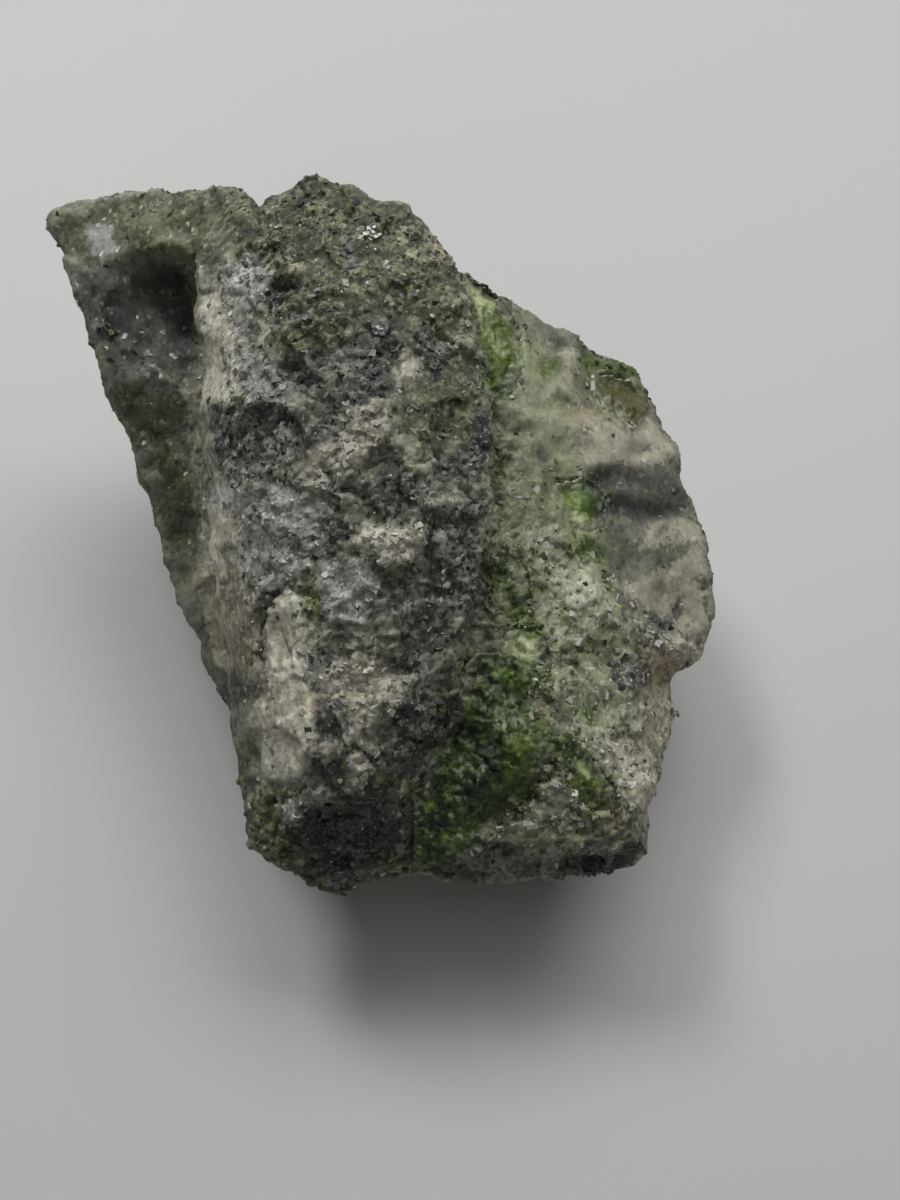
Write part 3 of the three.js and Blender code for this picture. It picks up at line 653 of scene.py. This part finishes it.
GREY_ROCK = [
    (0.0, (0.022, 0.023, 0.018)), (0.3, (0.105, 0.108, 0.083)), (0.5, (0.235, 0.235, 0.180)),
    (0.75, (0.43, 0.42, 0.33)), (1.0, (0.74, 0.73, 0.64)),
]
ROCK_TINTS = [
    ("mint", 1.6, [(0.0, (0.06, 0.072, 0.035)), (0.35, (0.24, 0.26, 0.15)), (0.6, (0.43, 0.45, 0.29)),
                   (1.0, (0.72, 0.75, 0.58))]),
    ("olive", 1.6, [(0.0, (0.010, 0.014, 0.006)), (0.36, (0.062, 0.074, 0.034)), (0.6, (0.265, 0.275, 0.150)),
                    (1.0, (0.62, 0.63, 0.44))]),
    ("lilac", 2.4, [(0.0, (0.11, 0.11, 0.10)), (0.3, (0.27, 0.265, 0.245)), (0.6, (0.47, 0.46, 0.43)),
                    (1.0, (0.82, 0.81, 0.79))]),
    ("pale", 2.4, [(0.0, (0.13, 0.12, 0.085)), (0.3, (0.34, 0.325, 0.24)), (0.6, (0.56, 0.54, 0.42)),
                   (1.0, (0.83, 0.81, 0.70))]),
    ("green", 2.0, [(0.0, (0.008, 0.016, 0.004)), (0.35, (0.050, 0.080, 0.018)), (0.6, (0.17, 0.24, 0.06)),
                    (1.0, (0.48, 0.56, 0.26))]),
    ("charcoal", 1.8, [(0.0, (0.013, 0.014, 0.012)), (0.35, (0.062, 0.066, 0.056)),
                       (0.6, (0.22, 0.225, 0.19)), (1.0, (0.54, 0.54, 0.48))]),
    ("rust", 1.6, [(0.0, (0.13, 0.10, 0.06)), (0.4, (0.42, 0.36, 0.24)), (1.0, (0.78, 0.71, 0.56))]),
]
GREEN_GRAINS = {name: stops for name, _, stops in ROCK_TINTS}["green"]


def rock_colour(tree, lightness, ragged):
    """Grey rock, its patches over it, and a green stain beside the crystals."""
    colour = colours(tree, lightness, GREY_ROCK)
    for name, firmness, stops in ROCK_TINTS:
        share = zone_share(tree, name, ragged, firmness)
        colour = blend(tree, share, colour, colours(tree, lightness, stops))
    stain = number(tree, "MULTIPLY", zone_share(tree, "beside", ragged, 2.0), 0.45)
    return blend(tree, stain, colour, colours(tree, lightness, GREEN_GRAINS))


granular_rock, tree, surface = new_material("granular_rock")
lightness, ragged, crisp, cells, tone, shine, kind, fleck = grainy(tree)
tree.links.new(rock_colour(tree, lightness, ragged), surface.inputs["Base Color"])
tree.links.new(weigh(tree, (shine, 0.35), start=0.42), surface.inputs["Roughness"])
grainy_skin(tree, surface, cells, tone, kind, fleck, 0.1, crisp, 0.86, 0.55)
matrix_rock.data.materials.append(granular_rock)
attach(matrix_rock, "root")
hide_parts("matrix")

# ---- The diopside crystals ----
# Deep green to lime-green and olive crystals grown tight in the rock and broken with it, so they show
# splintery cleavage faces: glassy, a little clear, darker where thick and frosted where crushed.


def nearest(points, targets, count):
    """For each point, the numbers of the nearest targets, and how far each of them is."""
    tree = KDTree(len(targets))
    for index, target in enumerate(targets):
        tree.insert(target, index)
    tree.balance()
    found = [tree.find_n(point, count) for point in points]
    return (np.array([[hit[1] for hit in hits] for hits in found]),
            np.array([[hit[2] for hit in hits] for hits in found]))


OVERLAP = 1.2
CRYSTAL_GRID = 0.15
# What shows of three of them is narrower than the piece: their outlines on the face turned to the eye,
# outside which they take on the colours and the relief of the rock.
TRACED = {
    "front_crystal": [(2.4, -4.9), (5.4, -4.9), (5.9, -6.7), (6.2, -8.6), (6.3, -11.1), (5.9, -13.4),
                      (5.1, -15.3), (3, -15.9), (1.8, -17.8), (0.4, -19.9), (-1.8, -20.6), (-3.1, -19.5),
                      (-2.8, -16.8), (-1.9, -14.5), (-1.1, -12.2), (-0.2, -9.9), (1, -7.6), (1.9, -6.1)],
    "edge_crystal": [(6.9, -9.3), (8.8, -9.8), (10.1, -10.9), (10.9, -12.8), (11.3, -14.2), (10.3, -14.8),
                     (8.9, -13.8), (7.5, -12.1), (6.7, -10.6)],
    "lower_seam_crystal": [(3.1, 4.6), (4.2, 4.2), (4.7, 2.1), (5.4, 0.2), (5, -1), (3.8, -0.5), (3.2, 1.1)],
}
# Only the rock in this box, which holds every crystal, is searched for their rims.
NEAR_MIDDLE = [7, 2, 18]
NEAR_REACH = [16, 32, 18]
rock_places, _ = places_and_normals(matrix_rock.data)
rock_near = np.flatnonzero((np.abs(rock_places - NEAR_MIDDLE) < NEAR_REACH).all(1))


def flattened(points, outward):
    """The points, all brought to one plane across `outward`, and how far along it each one was."""
    heights = points @ outward
    return points - np.outer(heights, outward), heights


def rims_around(points, outward):
    """The rock's points on top of it round a crystal: their places across and their heights."""
    rims = rock_near[rock_facing[rock_near] @ outward > 0.6][::2]
    flat_rims, heights = flattened(rock_base[rims], outward)
    flat_points, own_heights = flattened(points, outward)
    _, beside = nearest(flat_rims, flat_points, 1)
    around = (beside[:, 0] > 0.5) & (np.abs(heights - np.quantile(own_heights, 0.9)) < 1.6)
    return flat_rims[around], heights[around]


def rock_level(points, outward, rims):
    """How far above each point the rock would run over the socket, and how far off its rim is."""
    flat_points, own_heights = flattened(points, outward)
    index, apart = nearest(flat_points, rims[0], 20)
    share = 1 / (apart**2 + 0.05)
    level = (rims[1][index] * share).sum(1) / share.sum(1)
    return level - own_heights, apart[:, 0] - 0.5


def grown_in(node_name, name, outward, grain_turn, seed):
    """A crystal that fills its socket and laps over its edge, its rim broken on with the rock's relief."""
    piece = remeshed(node_name, name, CRYSTAL_GRID)
    places, normals = places_and_normals(piece.data)
    outward = np.array(outward, float) / np.linalg.norm(outward)
    top = np.clip(normals @ outward * 2, 0, 1)
    rims = rims_around(places, outward)
    _, inside = rock_level(places, outward, rims)
    flat, _ = flattened(places - places.mean(0), outward)
    for axis in np.linalg.svd(flat[::9], full_matrices=False)[2][:2]:
        away = flat @ axis
        places = places + np.outer(away * OVERLAP / np.abs(away).max(), axis)
    frayed = (warped(places, 0.5, 1.6, seed + 2) - places) * np.clip(1 - inside, 0, 1)[:, None]
    places = places + flattened(frayed, outward)[0]
    level, inside = rock_level(places, outward, rims)
    side_limit = np.where(top == 1, np.inf, level - 0.2 * (1 - top))
    lifted = np.minimum(level * top * np.clip(1.5 - inside / 3, 0, 1), side_limit)
    places = places + outward * lifted[:, None]
    turn = np.array(Matrix.Rotation(math.radians(grain_turn), 3, "Z"))
    splintered = warped(places, 0.25, 1.0, seed + 1) @ turn
    splinters = chips(splintered, np.array([0.9, 2.6, 0.9]), seed + 4, 0.34, 0.4)
    splinters += chips(splintered, np.array([0.4, 0.9, 0.4]), seed + 5, 0.16, 0.2)
    tints = rock_tints(places, np.tile(outward, (len(places), 1)))
    rim = np.clip(1 - inside / 1.1, 0, 1)
    if name in TRACED:
        across, up = across_and_up(warped(places, 0.3, 1.3, seed + 6))
        rim = np.maximum(rim, 1 - within(across, up, [TRACED[name]], 1.4))
    inner = np.clip(inside / 1.5, 0, 1) * (1 - 0.6 * tints["calm"]) * (1 - rim)
    rock_relief = broken_relief(places, (1 - 0.5 * tints["calm"]) * (1 - 0.7 * tints["smooth"]))
    relief = (inner * splinters + (1 - inner) * rock_relief - 0.1) * top
    under_rock = rock_relief + level - lifted - 0.1 - 0.4 * np.clip((-inside - 0.3) / 0.2, 0, 1)
    relief = np.where(inside < 0.2, np.minimum(relief, under_rock), relief)
    move_to(piece.data, places + outward * relief[:, None])
    for tint, share in tints.items():
        paint(piece.data, tint, share)
    paint(piece.data, "beside", np.full(len(places), 0.6))
    # Painted shade in the crystal's hollows, as on the rock.
    paint(piece.data, "hollow_shade", 0.5 - relief)
    paint(piece.data, "rim", rim)
    return piece


def crystal_material(name, deep, vivid, frosted_start):
    """Glassy green; towards the rim its colours give way to those of the rock, grain by grain."""
    material, tree, surface = new_material(name)
    lightness, ragged, crisp, cells, tone, shine, kind, fleck = grainy(tree)
    colour = colours(tree, lightness, deep)
    colour = blend(tree, zone_share(tree, "vivid", ragged, 2.4), colour, colours(tree, lightness, vivid))
    frost = weigh(tree, (painted(tree, "frosted"), 1.1), (ragged, 1.0), start=frosted_start, clamp=True)
    frosted = colours(tree, lightness, [
        (0.0, (0.03, 0.045, 0.012)), (0.5, (0.17, 0.22, 0.09)), (1.0, (0.60, 0.67, 0.46)),
    ])
    colour = blend(tree, number(tree, "MULTIPLY", frost, 0.85), colour, frosted)
    colour = blend(tree, zone_share(tree, "rim", ragged, 2.2), colour, rock_colour(tree, lightness, ragged))
    tree.links.new(colour, surface.inputs["Base Color"])
    tree.links.new(weigh(tree, (shine, 0.3), (frost, 0.3), start=0.2), surface.inputs["Roughness"])
    surface.inputs["IOR"].default_value = 1.68
    surface.inputs["Specular IOR Level"].default_value = 0.35
    surface.inputs["Transmission Weight"].default_value = 0.12
    grainy_skin(tree, surface, cells, tone, kind, fleck, 0.11, crisp, 0.8, 0.5)
    return material


DEEP_GREEN = [
    (0.0, (0.003, 0.007, 0.001)), (0.35, (0.014, 0.028, 0.004)), (0.6, (0.052, 0.090, 0.012)),
    (1.0, (0.32, 0.42, 0.12)),
]
VIVID_GREEN = [
    (0.0, (0.012, 0.03, 0.002)), (0.35, (0.060, 0.115, 0.010)), (0.6, (0.17, 0.26, 0.035)),
    (1.0, (0.50, 0.60, 0.22)),
]
LIME_GREEN = [
    (0.0, (0.17, 0.23, 0.06)), (0.35, (0.43, 0.51, 0.22)), (0.65, (0.65, 0.71, 0.43)),
    (1.0, (0.86, 0.89, 0.72)),
]
OLIVE_BROWN = [
    (0.0, (0.03, 0.026, 0.008)), (0.4, (0.105, 0.10, 0.035)), (0.75, (0.23, 0.225, 0.09)),
    (1.0, (0.42, 0.42, 0.22)),
]
deep_green = crystal_material("deep_green_diopside", DEEP_GREEN, VIVID_GREEN, -0.6)
seam_green = crystal_material("seam_green_diopside", VIVID_GREEN, LIME_GREEN, -0.3)
lime_green = crystal_material("lime_green_diopside", LIME_GREEN, LIME_GREEN, -0.3)
olive_brown = crystal_material("olive_brown_diopside", OLIVE_BROWN, OLIVE_BROWN, -0.8)

# Brighter and crushed parts of the crystals, as outlines on the face turned to the eye.
VIVID = [
    [(2.8, -5.3), (5.1, -4.9), (5, -6.3), (3.6, -6.3)],
    [(5.5, -3.7), (6.7, -3.5), (6.3, -5.3), (5.7, -4.9)],
    [(3.7, -11.2), (5.5, -9.8), (6.6, -10.9), (5.8, -13.3), (4.1, -13.7)],
    [(6.9, -10.5), (9.3, -10.3), (11.1, -14), (9, -13), (7.6, -11.8)],
    [(0.2, 26.2), (1.5, 26), (3.1, 23.6), (3.9, 22.4), (3, 22), (1.3, 23), (0.6, 24.4)],
    [(1.3, 22.9), (2.4, 22.6), (2.5, 21.3), (1.5, 21.1)],
    [(8.3, 6.4), (10.2, 6.8), (11.2, 5.4), (9.6, 4.9), (8.4, 5.4)],
    [(-2, -15.3), (-1.4, -15), (-1.1, -15.8), (-1.7, -16.2)],
    [(-0.8, -18), (0.2, -17.4), (0, -18.7), (-0.8, -19.1)],
    [(0.4, -7.6), (1.5, -6.9), (2.1, -8.8), (0.9, -9.3)],
]
FROSTED = [
    [(4.1, -7), (5.8, -7.3), (6, -8.7), (4.3, -8.7)],
    [(1.2, 21.6), (2.8, 21.4), (2.8, 20.7), (1.5, 20.7)],
    [(3.1, -6.9), (5.7, -7.3), (6.1, -10.3), (4.2, -11.5), (2.6, -9.2)],
    [(1.5, -18), (-0.8, -20.8), (-1.4, -20.3), (0.9, -17.4)],
    [(2.7, -2.8), (3.9, -2.1), (4.7, -3.1), (3.8, -3.7), (2.7, -3.4)],
]
CRYSTALS = [
    ("front_diopside", "front_crystal", (0.1, -0.45, 0.88), 25, 201, deep_green, "green_diopside"),
    ("edge_diopside", "edge_crystal", (0.3, -0.3, 0.9), 30, 211, seam_green, "green_diopside"),
    ("lime_diopside", "lime_crystal", (0.1, -0.1, 1), 10, 221, lime_green, "lime_diopside"),
    ("upper_seam_diopside", "upper_seam_crystal", (0.55, -0.05, 0.83), 5, 231, seam_green, "green_diopside"),
    ("lower_seam_diopside", "lower_seam_crystal", (0.1, -0.3, 0.95), 0, 241, deep_green, "green_diopside"),
    ("slab_diopside", "slab_crystal", (0.45, -0.2, 0.87), 20, 251, seam_green, "green_diopside"),
    ("olive_diopside", "olive_crystal", (0.55, -0.1, 0.83), 60, 261, olive_brown, "olive_diopside"),
]
grown = []
for node_name, name, outward, grain_turn, seed, material, slot in CRYSTALS:
    piece = grown_in(node_name, name, outward, grain_turn, seed)
    piece.data.materials.append(material)
    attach(piece, "root")
    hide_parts(node_name)
    grown.append(piece)

# Green stains the rock beside the crystals, and they are crushed and frosted along the rock.
crystal_places = np.concatenate([places_and_normals(piece.data)[0] for piece in grown])
rock_gap = np.full(len(rock_places), 9.0)
rock_gap[rock_near] = nearest(rock_places[rock_near], crystal_places, 1)[1][:, 0]
paint(matrix_rock.data, "beside", 1 - rock_gap / 1.2)
for piece in grown:
    places, _ = places_and_normals(piece.data)
    looked_at = np.tile(-SIGHT, (len(places), 1))
    paint(piece.data, "vivid", zoned(places, looked_at, VIVID, 112, soft=1.0))
    paint(piece.data, "frosted", zoned(places, looked_at, FROSTED, 113))

# ---- The grains ----
# The rock's own grains where they reach its broken faces: thin angular flakes of dark pyroxene, pale
# feldspar or calcite and green diopside, each sunk in the rock it is part of; a few flash in the light.
# The tiniest grains are coloured pale as painted highlights, standing in for glints.


def scattered_grains(name, count, likelihood, middle_size, seed, stops, shine, sunk=(0.1, 0.24), tilt=0.16,
                     turned_to=None):
    """Angular grains on the rock, thickest where likelihood is high, as one joined piece."""
    chance = np.random.default_rng(seed)
    mesh = matrix_rock.data
    mesh.calc_loop_triangles()
    triangles = np.empty(len(mesh.loop_triangles) * 3, np.int32)
    mesh.loop_triangles.foreach_get("vertices", triangles)
    triangles = triangles.reshape(-1, 3)
    places, normals = places_and_normals(mesh)
    first, second, third = (places[triangles[:, corner]] for corner in range(3))
    area = np.linalg.norm(np.cross(second - first, third - first), axis=1)
    weight = area * likelihood[triangles].mean(1) * (first[:, 2] > 1.2)
    picked = chance.choice(len(triangles), count, p=weight / weight.sum())
    share = chance.dirichlet((1, 1, 1), count)
    middles = (places[triangles[picked]] * share[:, :, None]).sum(1)
    outward = normals[triangles[picked, 0]]
    size = middle_size * np.exp(np.clip(chance.normal(0, 0.35, count), -0.7, 0.45))
    block = np.array([(x, y, z) for x in (-1, 1) for y in (-1, 1) for z in (-1, 1)], float)
    corners = block * chance.uniform(0.45, 1.0, (count, 1, 3)) + chance.uniform(-0.32, 0.32, (count, 8, 3))
    corners[:, :, 2] *= 0.5
    top = (outward if turned_to is None else turned_to) + chance.normal(0, tilt, (count, 3))
    top /= np.linalg.norm(top, axis=1)[:, None]
    side = np.cross(top, chance.normal(size=(count, 3)))
    side /= np.linalg.norm(side, axis=1)[:, None]
    turns = np.stack([side, np.cross(top, side), top], 2)
    corners = np.einsum("nij,nkj->nki", turns, corners) * size[:, None, None] / 2
    corners += (middles - outward * (size * chance.uniform(*sunk, count))[:, None])[:, None]
    corners = np.clip(corners, np.array(cad_low) / MM, np.array(cad_high) / MM)
    quads = np.array([(0, 1, 3, 2), (4, 6, 7, 5), (0, 4, 5, 1), (2, 3, 7, 6), (0, 2, 6, 4), (1, 5, 7, 3)])
    faces = (quads[None] + 8 * np.arange(count)[:, None, None]).reshape(-1, 4)
    grains = bpy.data.meshes.new(name)
    grains.from_pydata((corners.reshape(-1, 3) * MM).tolist(), [], faces.tolist())
    paint(grains, "tone", np.repeat(chance.random(count), 8))
    material, tree, surface = new_material(name.rstrip("s"))
    spot = node(tree, "TexCoord").outputs["Object"]
    lightness = weigh(tree, (painted(tree, "tone"), 0.8), (noise(tree, spot, 5000, 4, 0.7), 1.0), start=-0.4)
    tree.links.new(colours(tree, lightness, stops), surface.inputs["Base Color"])
    surface.inputs["Roughness"].default_value = shine
    grains.materials.append(material)
    piece = bpy.data.objects.new(name, grains)
    bpy.context.scene.collection.objects.link(piece)
    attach(piece, "root")


rugged = (1 - 0.85 * tints["smooth"]) * (1 - 0.96 * tints["calm"])
beside_crystals = np.clip(1 - rock_gap / 1.2, 0, 1)
scattered_grains(
    "dark_grains", 6000, rugged * (0.01 + tints["charcoal"] + 0.1 * tints["olive"]), 0.42, 301,
    [(0.0, (0.020, 0.022, 0.020)), (0.6, (0.060, 0.064, 0.058)), (1.0, (0.15, 0.155, 0.14))], 0.35,
)
scattered_grains(
    "pale_grains", 8000,
    rugged * (0.015 + tints["pale"] + 0.7 * tints["lilac"] + 0.2 * tints["mint"]), 0.42, 302,
    [(0.0, (0.17, 0.16, 0.13)), (0.5, (0.36, 0.35, 0.29)), (1.0, (0.66, 0.65, 0.58))], 0.4,
)
scattered_grains(
    "green_grains", 7000,
    rugged * (0.02 + tints["green"] + 0.3 * tints["olive"]) + 0.5 * beside_crystals, 0.36, 303,
    [(0.0, (0.022, 0.032, 0.012)), (0.45, (0.075, 0.095, 0.038)), (0.8, (0.18, 0.21, 0.10)),
     (1.0, (0.42, 0.46, 0.30))], 0.3,
)
# Painted highlights: tiny glossy grains coloured pale, so that they show as glints in any light.
scattered_grains(
    "painted_glint_grains", 1200,
    rugged * (0.1 + tints["charcoal"] + 0.6 * tints["lilac"] + 0.8 * tints["green"]), 0.13, 304,
    [(0.0, (0.5, 0.5, 0.5)), (1.0, (0.9, 0.9, 0.9))], 0.06, sunk=(-0.1, 0.1), tilt=0.6,
)

# One cleavage face near the top of the ridge is turned so that it throws the window back at the eye.
FLASHING = [[(-6.8, 28.7), (-5.2, 28.6), (-5.0, 28.1), (-6.6, 28.0)]]
FLASH_PLACE = np.array([-3, 13, 34])
WINDOW_AZIMUTH, WINDOW_ELEVATION = 22, 50
turn, rise = math.radians(WINDOW_AZIMUTH), math.radians(WINDOW_ELEVATION)
window = np.array([math.sin(turn) * math.cos(rise), math.cos(turn) * math.cos(rise), math.sin(rise)])
from_flash = EYE - FLASH_PLACE
scattered_grains(
    "flashing_grains", 9, within(across, up, FLASHING, 0.3) * (facing > 0.2), 0.45, 305,
    [(0.0, (0.5, 0.52, 0.48)), (1.0, (0.8, 0.82, 0.78))], 0.12, sunk=(-0.02, 0.06), tilt=0.06,
    turned_to=window + from_flash / np.linalg.norm(from_flash),
)

# ---- The table, the light and the camera ----
# A pale matt table under soft light from two windows and the ceiling. Far off, table and room are shown
# to the camera brighter than the lamps make them, so that low views have a plain pale background.


def seen_straight(tree):
    """1 for what the camera sees directly, 0 for light on its way between surfaces."""
    return node(tree, "LightPath").outputs["Is Camera Ray"]


bpy.ops.mesh.primitive_plane_add(size=3)
table = bpy.context.object
table.name = "table"
laminate, tree, surface = new_material("pale_laminate")
surface.inputs["Base Color"].default_value = (0.60, 0.60, 0.585, 1)
surface.inputs["Roughness"].default_value = 0.55
spot = node(tree, "TexCoord").outputs["Object"]
far_off = node(tree, "VectorMath", {0: spot}, operation="LENGTH").outputs["Value"]
# Painted light: far off, the table glows for the camera alone, in place of light from the room.
painted_room_light = node(tree, "MapRange", {"Value": far_off, "From Min": 0.12, "From Max": 1.1, "To Max": 0.5},
                       interpolation_type="SMOOTHSTEP").outputs["Result"]
surface.inputs["Emission Color"].default_value = (1, 1, 0.98, 1)
glow = number(tree, "MULTIPLY", seen_straight(tree), painted_room_light)
tree.links.new(glow, surface.inputs["Emission Strength"])
table.data.materials.append(laminate)
table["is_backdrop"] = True


def soft_light(name, azimuth, elevation, distance, width, height, watts):
    """An area light aimed at the specimen. Azimuth 0 is straight behind it, growing to the right."""
    turn, rise = math.radians(azimuth), math.radians(elevation)
    away = Vector((math.sin(turn) * math.cos(rise), math.cos(turn) * math.cos(rise), math.sin(rise)))
    lamp = bpy.data.lights.new(name, "AREA")
    lamp.shape = "RECTANGLE"
    lamp.size, lamp.size_y = width, height
    lamp.energy = watts
    light = bpy.data.objects.new(name, lamp)
    light.location = away * distance
    light.rotation_euler = away.to_track_quat("Z", "Y").to_euler()
    bpy.context.scene.collection.objects.link(light)


soft_light("right_window", WINDOW_AZIMUTH, WINDOW_ELEVATION, 0.75, 0.62, 0.36, 2.8)
soft_light("left_window", -29, 46, 0.9, 0.24, 0.24, 3.2)
soft_light("ceiling", 60, 80, 1.2, 1.1, 0.9, 1.6)
soft_light("room_behind_the_eye", 175, 28, 1.4, 1.6, 0.8, 1.5)
world = bpy.data.worlds.new("room_light")
world.use_nodes = True
backdrop = world.node_tree.nodes["Background"]
backdrop.inputs["Color"].default_value = (0.75, 0.76, 0.76, 1)
tree = world.node_tree
tree.links.new(weigh(tree, (seen_straight(tree), 0.6), start=0.03), backdrop.inputs["Strength"])
bpy.context.scene.world = world
bpy.context.scene.view_settings.view_transform = "Standard"

lens = bpy.data.cameras.new("camera")
lens.lens = 35
lens.sensor_width = 36
camera = bpy.data.objects.new("camera", lens)
camera.location = Vector(EYE) * MM
camera.rotation_euler = (math.pi / 2 - EYE_TILT, 0, 0)
lens.clip_start = 0.005
bpy.context.scene.collection.objects.link(camera)
bpy.context.scene.camera = camera

low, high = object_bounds()
